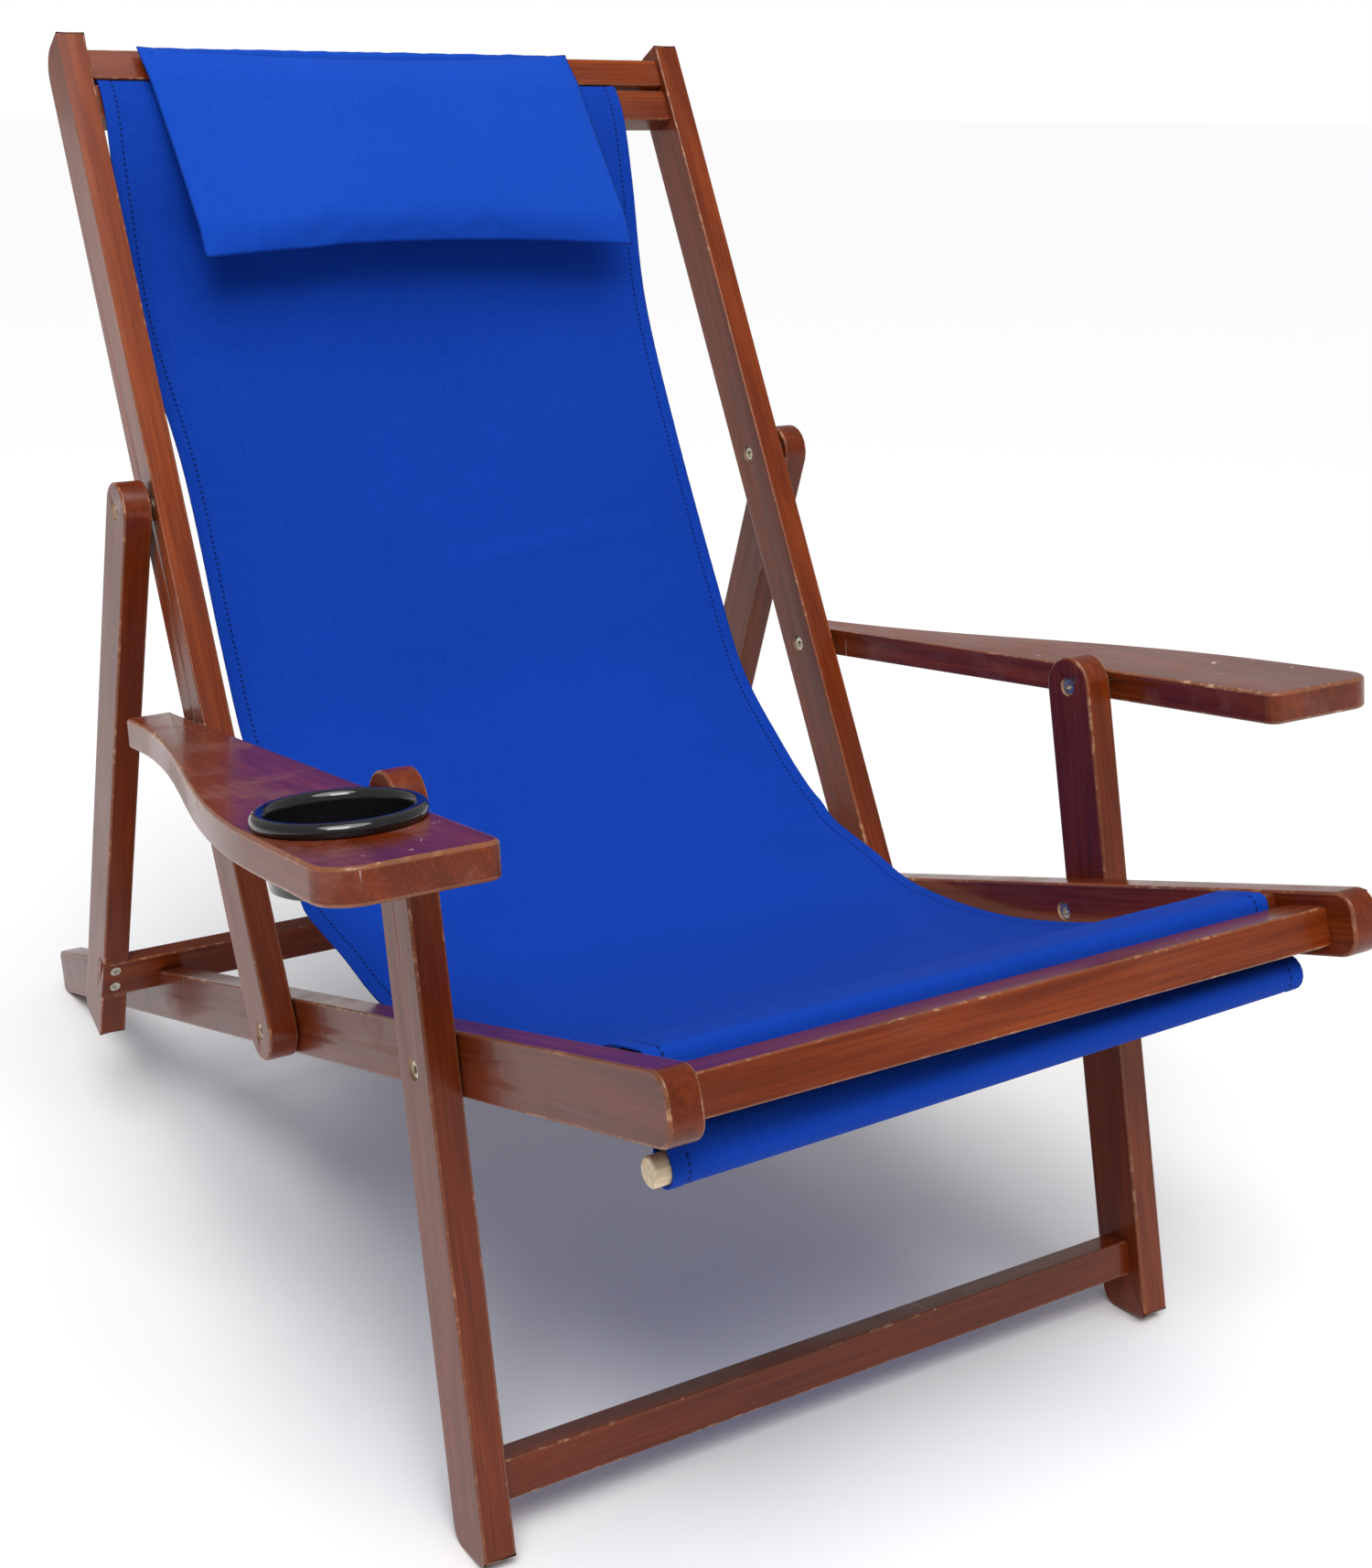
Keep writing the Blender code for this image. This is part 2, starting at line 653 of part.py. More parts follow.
def make_pivots(frames, bodies, steel):
    """The bolts, sleeve nuts, threaded inserts and washers at the five pivots of each side."""
    outer = UPRIGHT_X + BOARD
    sleeve_pivots = (
        ("rail_pivot", "upright", 0.0, RAIL_X, outer, UPRIGHT_X - 1.0, UPRIGHT_X, "seat"),
        ("leg_pivot", "leg", 0.0, RAIL_X, outer, UPRIGHT_X - 1.0, UPRIGHT_X, "seat"),
        ("prop_pivot", "prop", 0.0, UPRIGHT_X, ARM_X + BOARD, outer, ARM_X, "back"),
    )
    arm_pivots = (
        ("arm_front", "leg", LEG_LINK, ARM_X - GAP - UPRIGHT_X - HEAD_RECESS, "leg", 0.0),
        ("arm_rear", "upright", UPRIGHT_LINK, BOARD + INSERT_LENGTH, "back", -ARM_LINK),
    )
    for name, side in SIDES:
        for label, board, s, inner_x, outer_x, gap_low, gap_high, body in sleeve_pivots:
            frame, span = frames[board], outer_x - inner_x
            holder = bodies[body]
            reach = span - 2 * HEAD_RECESS - HEAD_HEIGHT
            bolt(f"{label}_bolt_{name}", frame, s, side, outer_x, -1, reach - 4, steel, holder)
            sleeve_nut(f"{label}_nut_{name}", frame, s, side, inner_x, reach - GAP, steel, holder)
            washer(f"{label}_washer_{name}", frame, s, side, gap_low, gap_high, SLEEVE_RADIUS, steel, holder)
        for label, board, s, length, body, reach_on_arm in arm_pivots:
            frame, holder = frames[board], bodies[body]
            bolt(f"{label}_bolt_{name}", frame, s, side, UPRIGHT_X, 1, length, steel, holder)
            washer(f"{label}_washer_{name}", frame, s, side, outer, ARM_X, SHANK_RADIUS, steel, holder)
            arm = frames["arm"]
            centre, hole = arm.point(side * ARM_X, reach_on_arm, 0), SHANK_RADIUS + GAP
            rings = tube_rings(centre, Vector((side, 0, 0)), 0.5, INSERT_LENGTH, hole, SLEEVE_RADIUS)
            closed_tube(f"{label}_insert_{name}", rings, steel, bodies[f"arm_{name}"])


def make_back_sling(frames, bodies, cloth):
    """The sling from the head dowel, through the slot of the head rails, down to the waist."""
    upright = frames["upright"]
    over = ((755.0, -9.0), (755.0, 12.0), (755.0, 15.5), (754.2, 18.0), (751.5, 18.9), (722.0, 19.5))
    down = ((667.0, 5.0), (567.0, -26.0), (445.0, -35.0), (297.0, -36.0), (216.0, -32.0), (141.0, -3.0))
    waist = ((98.0, 19.0), (84.0, 30.0))
    drop = [Vector(p) for p in (*over, *down, *waist)]
    line = pocket(HEAD_DOWEL, -320, 0, 16) + smooth(drop)
    stations = []
    top, bottom = drop[0].x, drop[-1].x
    for s, n in line:
        right = (along(BACK_RIGHT_EDGE, s), s, n)
        left = (share(SLING_TOP_X[1], SLING_WAIST_X[1], (top - s) / (top - bottom)), s, n)
        stations.append((upright, right, left))
    sling_ribbon("back_sling", stations, cloth, bodies["back"])


def make_seat_sling(frames, bodies, cloth):
    """The sling from the waist over the sling rail, down the slot and round the front dowel in a loop."""
    rail = frames["rail"]
    run = ((30.0, 71.0), (77.0, 45.0), (131.0, 17.0), (240.0, -4.0), (369.0, -3.0), (434.0, 13.0))
    turn = ((460.0, 21.0), (497.0, 21.0), (500.6, 19.2), (502.0, 15.0), (502.0, -14.0))
    line = smooth([Vector(p) for p in (*run, *turn)])
    dowel_ends = (FRONT_DOWEL_RIGHT, FRONT_DOWEL_LEFT)
    around = [[*pocket(centre, 172, 433, 13), Vector(POCKET_END)] for centre in dowel_ends]
    stations = []
    for s, n in line:
        part = (s - run[0][0]) / 90.0
        edges = [share(waist, seat, part) for waist, seat in zip(SLING_WAIST_X, SLING_SEAT_X)]
        stations.append((rail, (edges[0], s, n), (edges[1], s, n)))
    for one, other in zip(*around):
        stations.append((rail, (SLING_SEAT_X[0], *one), (SLING_SEAT_X[1], *other)))
    sling_ribbon("seat_sling", stations, cloth, bodies["seat"])


def make_dowel(name, frame, right, left, finish, body):
    """A round stick between two ends, each (x, s, n)."""
    start, end = frame.point(*right), frame.point(*left)
    axis = (end - start).normalized()
    length = (end - start).length
    profile = [
        (0, DOWEL_RADIUS - 1),
        (1, DOWEL_RADIUS),
        (length - 1, DOWEL_RADIUS),
        (length, DOWEL_RADIUS - 1),
    ]
    loft(name, turned_rings(start, axis, profile), finish, body, smooth_shaded=True)


def make_pillow(frames, bodies, cloth):
    """A flat head pillow that hangs in front of the head rails from a flap laid over the upper one."""
    upright = frames["upright"]
    outline = rounded(
        [
            (PILLOW_TOP, 21.5, 4),
            (PILLOW_TOP, 32, 6),
            (PILLOW_TOP - 30, 42, 20),
            (PILLOW_BOTTOM + 26, 40, 18),
            (PILLOW_BOTTOM, 27, 6),
            (PILLOW_BOTTOM, 16, 5),
            (700, 23, 0),
        ]
    )
    middle = Vector(((PILLOW_BOTTOM + PILLOW_TOP) / 2, 27.0))
    inner = PILLOW_HALF_WIDTH - 15
    rings = []
    for x, size in ((-PILLOW_HALF_WIDTH, 0.75), (-inner, 1), (inner, 1), (PILLOW_HALF_WIDTH, 0.75)):
        ring = []
        for point in outline:
            s, n = middle + (point - middle) * Vector((share(1, size, 0.2), size))
            shift = share(-10.5, -30.0, (s - PILLOW_BOTTOM) / (PILLOW_TOP - PILLOW_BOTTOM))
            ring.append(upright.point(x + shift, s, n))
        rings.append(ring)
    loft("pillow", rings, cloth, bodies["pillow"], smooth_shaded=True)
    front = ((777.0, 18.6), (782.6, 18.4), (784.6, 17.4), (785.2, 15.0))
    rear = ((785.2, -4.0), (784.6, -6.4), (782.6, -7.4), (760.5, -7.6))
    stations = [(upright, (-205.0, *p), (150.0, *p)) for p in (*front, *rear)]
    sling_ribbon("pillow_flap", stations, cloth, bodies["back"])


def main():
    for leftover in list(bpy.data.objects):
        bpy.data.objects.remove(leftover, do_unlink=True)
    wood = material("stained_wood", (0.30, 0.085, 0.035), 0.3)
    bare_wood = material("bare_dowel", (0.72, 0.56, 0.36), 0.6)
    cloth = material("blue_canvas", (0.008, 0.09, 0.62), 0.85)
    pillow_cloth = material("pillow_canvas", (0.012, 0.11, 0.66), 0.85)
    plastic = material("black_plastic", (0.01, 0.01, 0.011), 0.15)
    steel = material("zinc_steel", (0.62, 0.58, 0.5), 0.35, 1.0)
    frames, bodies = layout()
    make_seat_rails(frames, bodies, wood)
    make_uprights(frames, bodies, wood)
    make_legs(frames, bodies, wood)
    make_prop_frame(frames, bodies, wood, steel)
    make_armrests(frames, bodies, wood)
    make_cup_holder(frames, bodies, plastic)
    make_pivots(frames, bodies, steel)
    make_back_sling(frames, bodies, cloth)
    make_seat_sling(frames, bodies, cloth)
    head = ((SLING_TOP_X[0] - 2, *HEAD_DOWEL), (SLING_TOP_X[1] + 2, *HEAD_DOWEL))
    make_dowel("head_dowel", frames["upright"], *head, bare_wood, bodies["back"])
    front = ((SLING_SEAT_X[0] - 9, *FRONT_DOWEL_RIGHT), (SLING_SEAT_X[1] - 3, *FRONT_DOWEL_LEFT))
    make_dowel("front_dowel", frames["rail"], *front, bare_wood, bodies["seat"])
    make_pillow(frames, bodies, pillow_cloth)


main()
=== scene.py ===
"""Looks of the folding wooden beach chair: timber, sling, head pillow, cup, floor, light and camera.

Lengths are in metres. The chair faces -Y and the sitter's left is +X. Points in a side view are (s, n):
s runs along a board from its pivot and n out of its front or top edge.
"""

import json
import math

import bmesh
import bpy
from mathutils import Matrix, Vector, noise

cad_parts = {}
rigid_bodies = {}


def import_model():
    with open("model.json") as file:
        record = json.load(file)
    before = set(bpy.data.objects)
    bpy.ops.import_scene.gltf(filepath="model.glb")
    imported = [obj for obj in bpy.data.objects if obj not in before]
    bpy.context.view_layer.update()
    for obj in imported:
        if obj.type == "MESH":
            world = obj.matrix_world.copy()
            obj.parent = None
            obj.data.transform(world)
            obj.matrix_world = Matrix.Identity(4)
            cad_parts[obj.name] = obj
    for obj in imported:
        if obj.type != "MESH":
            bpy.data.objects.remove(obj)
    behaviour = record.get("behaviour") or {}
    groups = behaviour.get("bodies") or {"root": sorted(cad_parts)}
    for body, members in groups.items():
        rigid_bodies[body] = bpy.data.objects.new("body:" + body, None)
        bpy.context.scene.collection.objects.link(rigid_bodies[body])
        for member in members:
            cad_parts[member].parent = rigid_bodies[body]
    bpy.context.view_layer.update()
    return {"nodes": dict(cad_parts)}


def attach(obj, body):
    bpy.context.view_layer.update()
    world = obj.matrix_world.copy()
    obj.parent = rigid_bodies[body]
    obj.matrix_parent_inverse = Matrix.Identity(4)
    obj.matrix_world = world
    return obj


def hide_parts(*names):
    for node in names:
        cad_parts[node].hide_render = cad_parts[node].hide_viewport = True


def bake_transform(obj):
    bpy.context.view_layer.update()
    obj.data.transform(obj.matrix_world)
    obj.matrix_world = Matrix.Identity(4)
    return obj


MM = 0.001
RAIL_SLOPE, BACK_LEAN, LEG_LEAN, PROP_LEAN, ARM_SLOPE = 17.4, 28.93, 12.987, -18.3, 7.683
RAIL_PIVOT = Vector((-0.05533, 0.21965))
FRONT_ARM_PIVOT = Vector((-0.29139, 0.46498))

for leftover in list(bpy.data.objects):
    bpy.data.objects.remove(leftover, do_unlink=True)
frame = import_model()
NODES = frame["nodes"]


# Side views


class SideView:
    """Turns (s, n) in millimetres along and out of a board into points of the chair."""

    def __init__(self, origin, along, out):
        self.origin, self.along, self.out = origin, Vector(along), Vector(out)

    def point(self, x, s, n):
        y, z = self.origin + (s * self.along + n * self.out) * MM
        return Vector((x * MM, y, z))


def leaning(origin, lean):
    a = math.radians(lean)
    return SideView(origin, (math.sin(a), math.cos(a)), (-math.cos(a), math.sin(a)))


def sloping(origin, slope):
    a = math.radians(slope)
    return SideView(origin, (-math.cos(a), math.sin(a)), (math.sin(a), math.cos(a)))


RAIL = sloping(RAIL_PIVOT, RAIL_SLOPE)
UPRIGHT = leaning(RAIL_PIVOT, BACK_LEAN)
ARM = sloping(FRONT_ARM_PIVOT, ARM_SLOPE)


def middle(node):
    """The middle of a node's box in its side view."""
    return [(min(v.co[k] for v in node.data.vertices) + max(v.co[k] for v in node.data.vertices)) / 2 for k in (1, 2)]


PIVOTS = [middle(node) for name, node in NODES.items() if name.endswith("_washer_left")]


# Materials


class Nodes:
    """Short ways to add and link shader nodes in one material."""

    def __init__(self, name):
        self.material = bpy.data.materials.new(name)
        self.material.use_nodes = True
        self.tree = self.material.node_tree
        self.shader = self.tree.nodes["Principled BSDF"]

    def add(self, kind, settings=None, **links):
        """A node with its settings, and its inputs linked to a socket or set to a value."""
        made = self.tree.nodes.new(kind)
        for key, value in (settings or {}).items():
            setattr(made, key, value)
        for key, value in links.items():
            name = key.replace("_", " ")
            socket = made.inputs[int(key[1:])] if key[0] == "i" and key[1:].isdigit() else made.inputs[name]
            self.give(socket, value)
        return made

    def give(self, socket, value):
        if isinstance(value, bpy.types.NodeSocket):
            self.tree.links.new(value, socket)
        else:
            socket.default_value = value

    def math(self, operation, a, b=0.0, clamp=False):
        made = self.add("ShaderNodeMath", {"operation": operation, "use_clamp": clamp}, i0=a, i1=b)
        return made.outputs[0]

    def range(self, value, low, high, to_low=0.0, to_high=1.0):
        made = self.add("ShaderNodeMapRange", {"interpolation_type": "SMOOTHSTEP"})
        for index, given in enumerate((value, low, high, to_low, to_high)):
            self.give(made.inputs[index], given)
        return made.outputs[0]

    def mix(self, factor, a, b, blend="MIX"):
        made = self.add("ShaderNodeMix", {"data_type": "RGBA", "blend_type": blend})
        for index, given in ((0, factor), (6, a), (7, b)):
            self.give(made.inputs[index], given)
        return made.outputs[2]

    def noise(self, vector, scale, detail=3.0, rough=0.5, distortion=0.0):
        made = self.add("ShaderNodeTexNoise")
        named = {"Vector": vector, "Scale": scale, "Detail": detail, "Roughness": rough, "Distortion": distortion}
        for key, given in named.items():
            self.give(made.inputs[key], given)
        return made.outputs[0]

    def mapped(self, vector, place=(0, 0, 0), turn=(0, 0, 0), size=(1, 1, 1)):
        made = self.add("ShaderNodeMapping")
        for key, given in (("Vector", vector), ("Location", place), ("Rotation", turn), ("Scale", size)):
            self.give(made.inputs[key], given)
        return made.outputs[0]

    def ramp(self, factor, stops):
        made = self.add("ShaderNodeValToRGB")
        line = made.color_ramp
        while len(line.elements) < len(stops):
            line.elements.new(0.5)
        for element, (place, colour) in zip(line.elements, stops):
            element.position, element.color = place, (*colour, 1.0)
        self.give(made.inputs[0], factor)
        return made.outputs[0]

    def bump(self, height, strength, distance):
        made = self.add("ShaderNodeBump", Height=height, Strength=strength, Distance=distance)
        self.give(self.shader.inputs["Normal"], made.outputs[0])

    def fixed(self, **values):
        for key, value in values.items():
            self.shader.inputs[key.replace("_", " ")].default_value = value


def object_vector(made):
    return made.add("ShaderNodeTexCoord").outputs["Object"]


ALONG_X = (0.0, -math.pi / 2, 0.0)


def along_board(lean):
    """The turn that puts a board's length on the texture's Z axis, for a lean from the vertical towards +Y."""
    return (math.radians(lean), 0.0, 0.0)


DARK_STAIN = (0.036, 0.0045, 0.0012)
MID_STAIN = (0.135, 0.0200, 0.0028)
LIGHT_STAIN = (0.320, 0.0620, 0.0085)
# Bare wood colour, used for the chipped wear on edges and for the painted highlight line along every edge.
BARE_WOOD_FOR_WEAR_AND_HIGHLIGHT = (0.62, 0.36, 0.20)
SLING_WIDTH = 0.468
HEM, STITCH_PITCH = 0.0105, 0.0046


def timber(name, turn, seed, tone=0.0, wear_and_highlight=0.0, scuffs=0.0):
    """Reddish stained hardwood under a semi-gloss varnish, its grain along the board."""
    made = Nodes(name)
    straight = made.mapped(object_vector(made), turn=turn)
    place = (seed * 1.37, seed * 0.71, seed * 2.13)
    broad = made.mapped(straight, place, size=(1, 1, 0.10))
    fine = made.mapped(straight, place, size=(1, 1, 0.022))
    figure = made.noise(broad, 16.0, 4.0, 0.55, 0.6)
    bands = made.add("ShaderNodeTexWave", {"wave_type": "BANDS", "bands_direction": "DIAGONAL"})
    turbulence = {"Scale": 26.0, "Distortion": 9.0, "Detail": 3.0, "Detail Scale": 1.4}
    for key, given in {"Vector": broad, **turbulence, "Phase Offset": seed}.items():
        made.give(bands.inputs[key], given)
    fibre = made.noise(fine, 420.0, 5.0, 0.62)
    pores = made.range(made.noise(fine, 900.0, 2.0, 0.5), 0.36, 0.30)
    grain = made.math("ADD", made.math("MULTIPLY", figure, 0.50), made.math("MULTIPLY", bands.outputs[1], 0.07))
    grain = made.math("ADD", grain, made.math("MULTIPLY", made.math("SUBTRACT", fibre, 0.5), 0.50))
    grain = made.math("ADD", grain, tone + 0.17)
    colour = made.ramp(grain, ((0.12, DARK_STAIN), (0.46, MID_STAIN), (0.82, LIGHT_STAIN)))
    colour = made.mix(made.math("MULTIPLY", pores, 0.45), colour, (*DARK_STAIN, 1.0))
    patches = made.noise(made.mapped(straight, place, size=(1, 1, 0.5)), 7.0, 3.0, 0.6)
    height = made.math("SUBTRACT", made.math("MULTIPLY", fibre, 0.5), made.math("MULTIPLY", pores, 0.6))
    rough = made.range(patches, 0.3, 0.7, 0.22, 0.34)
    if scuffs:
        lines = made.noise(made.mapped(straight, place, (0.4, 0.5, 0.6), (1, 0.04, 1)), 95.0, 3.0, 0.5, 0.4)
        where = made.range(made.noise(straight, 11.0), 0.50, 0.60)
        marks = made.math("MULTIPLY", made.range(lines, 0.69, 0.72), where)
        haze = made.math("MULTIPLY", made.range(made.noise(straight, 19.0, 5.0, 0.6), 0.50, 0.68), 0.10)
        seen = made.math("MULTIPLY", made.math("MAXIMUM", marks, haze), scuffs)
        colour = made.mix(seen, colour, (0.60, 0.42, 0.38, 1.0))
        rough = made.math("ADD", rough, made.math("MULTIPLY", haze, 1.2))
    # Edge faces: noise-driven chips show bare wood (real wear), and a fixed 0.16 share lightens every edge evenly as
    # a painted highlight line.
    if wear_and_highlight:
        chips = made.range(made.noise(straight, 120.0, 4.0, 0.65), 0.50, 0.64)
        chips = made.math("MULTIPLY", chips, made.range(made.noise(straight, 14.0, 2.0), 0.38, 0.62))
        chips_and_edge_highlight = made.math("ADD", made.math("MULTIPLY", chips, 0.75), 0.16)
        colour = made.mix(made.math("MULTIPLY", chips_and_edge_highlight, wear_and_highlight), colour, (*BARE_WOOD_FOR_WEAR_AND_HIGHLIGHT, 1.0))
        height = made.math("SUBTRACT", height, chips)
    made.give(made.shader.inputs["Base Color"], colour)
    made.give(made.shader.inputs["Roughness"], rough)
    made.bump(height, 0.16, 0.0004)
    made.fixed(Coat_Weight=0.10, Coat_Roughness=0.06, Specular_IOR_Level=0.25)
    return made.material


def bare_timber(name, turn, seed, colour=(0.66, 0.47, 0.29)):
    """Unstained wood, as on the dowels and in the counterbores."""
    made = Nodes(name)
    straight = made.mapped(object_vector(made), turn=turn)
    fine = made.mapped(straight, (seed, seed, seed), size=(1, 1, 0.04))
    fibre = made.noise(fine, 300.0, 4.0, 0.6)
    dark = tuple(0.55 * c for c in colour)
    made.give(made.shader.inputs["Base Color"], made.ramp(fibre, ((0.25, dark), (0.6, colour), (0.9, colour))))
    made.give(made.shader.inputs["Roughness"], made.range(fibre, 0.2, 0.8, 0.72, 0.52))
    made.bump(fibre, 0.3, 0.0003)
    return made.material


def canvas(name, colour, pitch=0.0015, uv=True, sheen=0.02, hemmed=0.0):
    """Dyed polyester canvas: a plain weave with thread by thread colour, slubs and a soft sheen."""
    made = Nodes(name)
    if uv:
        flat = made.add("ShaderNodeUVMap", {"uv_map": "cloth"}).outputs[0]
    else:
        flat = object_vector(made)
    axes = made.add("ShaderNodeSeparateXYZ", Vector=flat)
    across, along = axes.outputs[0], axes.outputs[1] if uv else axes.outputs[2]
    wobble = made.math("MULTIPLY", made.math("SUBTRACT", made.noise(flat, 90.0, 2.0), 0.5), pitch * 0.9)
    turns = math.tau / pitch
    warp = made.math("SINE", made.math("MULTIPLY", made.math("ADD", across, wobble), turns))
    weft = made.math("SINE", made.math("MULTIPLY", made.math("ADD", along, wobble), turns))
    weave = made.math("MULTIPLY", warp, weft)
    threads_a = made.noise(made.mapped(flat, size=(1, 0.03, 0.03)), 700.0, 2.0, 0.6)
    threads_b = made.noise(made.mapped(flat, (3, 1, 2), size=(0.03, 1, 1)), 700.0, 2.0, 0.6)
    slubs = made.math("MULTIPLY", made.math("ADD", threads_a, threads_b), 0.5)
    cloudy = made.noise(flat, 5.0, 4.0, 0.55)
    level = made.math("MULTIPLY", made.math("SUBTRACT", slubs, 0.5), 0.45)
    level = made.math("ADD", made.math("MULTIPLY", weave, 0.16), level)
    level = made.math("ADD", level, made.math("MULTIPLY", made.math("SUBTRACT", cloudy, 0.5), 0.35))
    level = made.math("ADD", level, 0.5, clamp=True)
    dark, light = tuple(0.70 * c for c in colour), tuple(min(1.0, 1.28 * c + 0.006) for c in colour)
    dyed = made.ramp(level, ((0.0, dark), (0.5, colour), (1.0, light)))
    if hemmed:
        inward = made.math("MINIMUM", across, made.math("SUBTRACT", hemmed, across))
        row = made.range(made.math("ABSOLUTE", made.math("SUBTRACT", inward, HEM)), 0.0011, 0.0006)
        dash = made.range(made.math("SINE", made.math("MULTIPLY", along, math.tau / STITCH_PITCH)), -0.35, 0.05)
        stitches = made.math("MULTIPLY", row, dash)
        dyed = made.mix(made.math("MULTIPLY", stitches, 0.80), dyed, (*(0.12 * c for c in colour), 1.0))
    made.give(made.shader.inputs["Base Color"], dyed)
    made.give(made.shader.inputs["Roughness"], made.range(slubs, 0.3, 0.7, 0.9, 0.74))
    made.bump(made.math("ADD", made.math("MULTIPLY", weave, 0.5), made.math("MULTIPLY", slubs, 0.9)), 0.5, 0.0005)
    made.fixed(Sheen_Weight=sheen, Sheen_Roughness=0.5, Sheen_Tint=(0.30, 0.50, 1.0, 1.0), Specular_IOR_Level=0.12)
    return made.material


def gloss_plastic():
    """Moulded black plastic, with faint polish marks and dust."""
    made = Nodes("black_gloss_plastic")
    where = object_vector(made)
    dust = made.range(made.noise(where, 900.0, 3.0, 0.7), 0.60, 0.72)
    swirl = made.noise(where, 24.0, 4.0, 0.6)
    black, dusty = (0.006, 0.006, 0.007), (0.03, 0.03, 0.034)
    made.give(made.shader.inputs["Base Color"], made.ramp(dust, ((0.0, black), (1.0, dusty))))
    polish = made.range(swirl, 0.3, 0.7, 0.07, 0.14)
    made.give(made.shader.inputs["Roughness"], made.math("ADD", polish, made.math("MULTIPLY", dust, 0.15)))
    made.bump(swirl, 0.04, 0.0008)
    made.fixed(Coat_Weight=0.3, Coat_Roughness=0.05)
    return made.material


def plated_steel():
    """Yellow-passivated zinc plating, blotchy and a little dulled."""
    made = Nodes("zinc_plated_steel")
    where = object_vector(made)
    blotch = made.noise(where, 160.0, 4.0, 0.6)
    scratch = made.noise(made.mapped(where, size=(1, 0.2, 1)), 1400.0, 2.0)
    stained, plain, bright = (0.36, 0.30, 0.20), (0.58, 0.53, 0.42), (0.72, 0.70, 0.64)
    made.give(made.shader.inputs["Base Color"], made.ramp(blotch, ((0.3, stained), (0.55, plain), (0.8, bright))))
    made.give(made.shader.inputs["Roughness"], made.range(scratch, 0.3, 0.7, 0.26, 0.46))
    made.bump(scratch, 0.12, 0.0002)
    made.fixed(Metallic=1.0)
    return made.material


# Timber boards: the CAD solids with rounded arrises, edges with chipped wear and a painted highlight line, and bare
# counterbores


def edge_picker():
    """Geometry nodes that mark for bevelling the convex edges over 40 degrees that are longer than a given length."""
    tree = bpy.data.node_groups.new("arrises", "GeometryNodeTree")
    tree.interface.new_socket("Geometry", in_out="INPUT", socket_type="NodeSocketGeometry")
    tree.interface.new_socket("Shortest", in_out="INPUT", socket_type="NodeSocketFloat")
    tree.interface.new_socket("Geometry", in_out="OUTPUT", socket_type="NodeSocketGeometry")
    new, link = tree.nodes.new, tree.links.new
    given, result = new("NodeGroupInput"), new("NodeGroupOutput")
    turn, ends = new("GeometryNodeInputMeshEdgeAngle"), new("GeometryNodeInputMeshEdgeVertices")
    gap = new("ShaderNodeVectorMath")
    gap.operation = "DISTANCE"
    link(ends.outputs["Position 1"], gap.inputs[0])
    link(ends.outputs["Position 2"], gap.inputs[1])
    long_enough, steep = new("ShaderNodeMath"), new("ShaderNodeMath")
    for node, value in ((long_enough, gap.outputs["Value"]), (steep, turn.outputs["Signed Angle"])):
        node.operation = "GREATER_THAN"
        link(value, node.inputs[0])
    link(given.outputs["Shortest"], long_enough.inputs[1])
    steep.inputs[1].default_value = math.radians(40)
    both = new("ShaderNodeMath")
    both.operation = "MULTIPLY"
    link(long_enough.outputs[0], both.inputs[0])
    link(steep.outputs[0], both.inputs[1])
    store = new("GeometryNodeStoreNamedAttribute")
    store.data_type, store.domain = "FLOAT", "EDGE"
    store.inputs["Name"].default_value = "bevel_weight_edge"
    link(given.outputs["Geometry"], store.inputs["Geometry"])
    link(both.outputs[0], store.inputs["Value"])
    link(store.outputs[0], result.inputs[0])
    return tree


ARRISES = edge_picker()
WELD_GAP = 0.00002
COUNTERBORE_REACH = 0.0074


def round_arrises(node, width, shortest, segments=3, edge_material=1):
    weld = node.modifiers.new("weld", "WELD")
    weld.merge_threshold = WELD_GAP
    pick = node.modifiers.new("arrises", "NODES")
    pick.node_group = ARRISES
    pick[ARRISES.interface.items_tree["Shortest"].identifier] = shortest
    bevel = node.modifiers.new("round", "BEVEL")
    bevel.limit_method, bevel.width, bevel.segments = "WEIGHT", width, segments
    bevel.use_clamp_overlap = False
    bevel.material = edge_material
    even = node.modifiers.new("even", "WEIGHTED_NORMAL")
    even.mode, even.weight, even.keep_sharp = "FACE_AREA", 100, False


def shade(node):
    """Smooth shading on every face, in place of the flat normals that the file gave."""
    mesh = node.data
    if "custom_normal" in mesh.attributes:
        mesh.attributes.remove(mesh.attributes["custom_normal"])
    mesh.shade_smooth()


def in_counterbore(centre):
    return any(math.hypot(centre.y - y, centre.z - z) < COUNTERBORE_REACH for y, z in PIVOTS)


def dress_board(name, turn, seed, tone=0.0, wear_and_highlight=0.5, scuffs=0.0, width=0.0018, shortest=0.003):
    node = NODES[name]
    node.data.materials.clear()
    node.data.materials.append(timber(f"timber_{name}", turn, seed, tone, 0.0, scuffs))
    # The edge material carries the chipped wear and the painted highlight line along the edges.
    node.data.materials.append(timber(f"timber_{name}_edges", turn, seed, tone, wear_and_highlight))
    node.data.materials.append(bare_timber(f"bare_{name}", turn, seed, (0.50, 0.29, 0.17)))
    for face in node.data.polygons:
        face.material_index = 2 if in_counterbore(face.center) else 0
    shade(node)
    round_arrises(node, width, shortest)


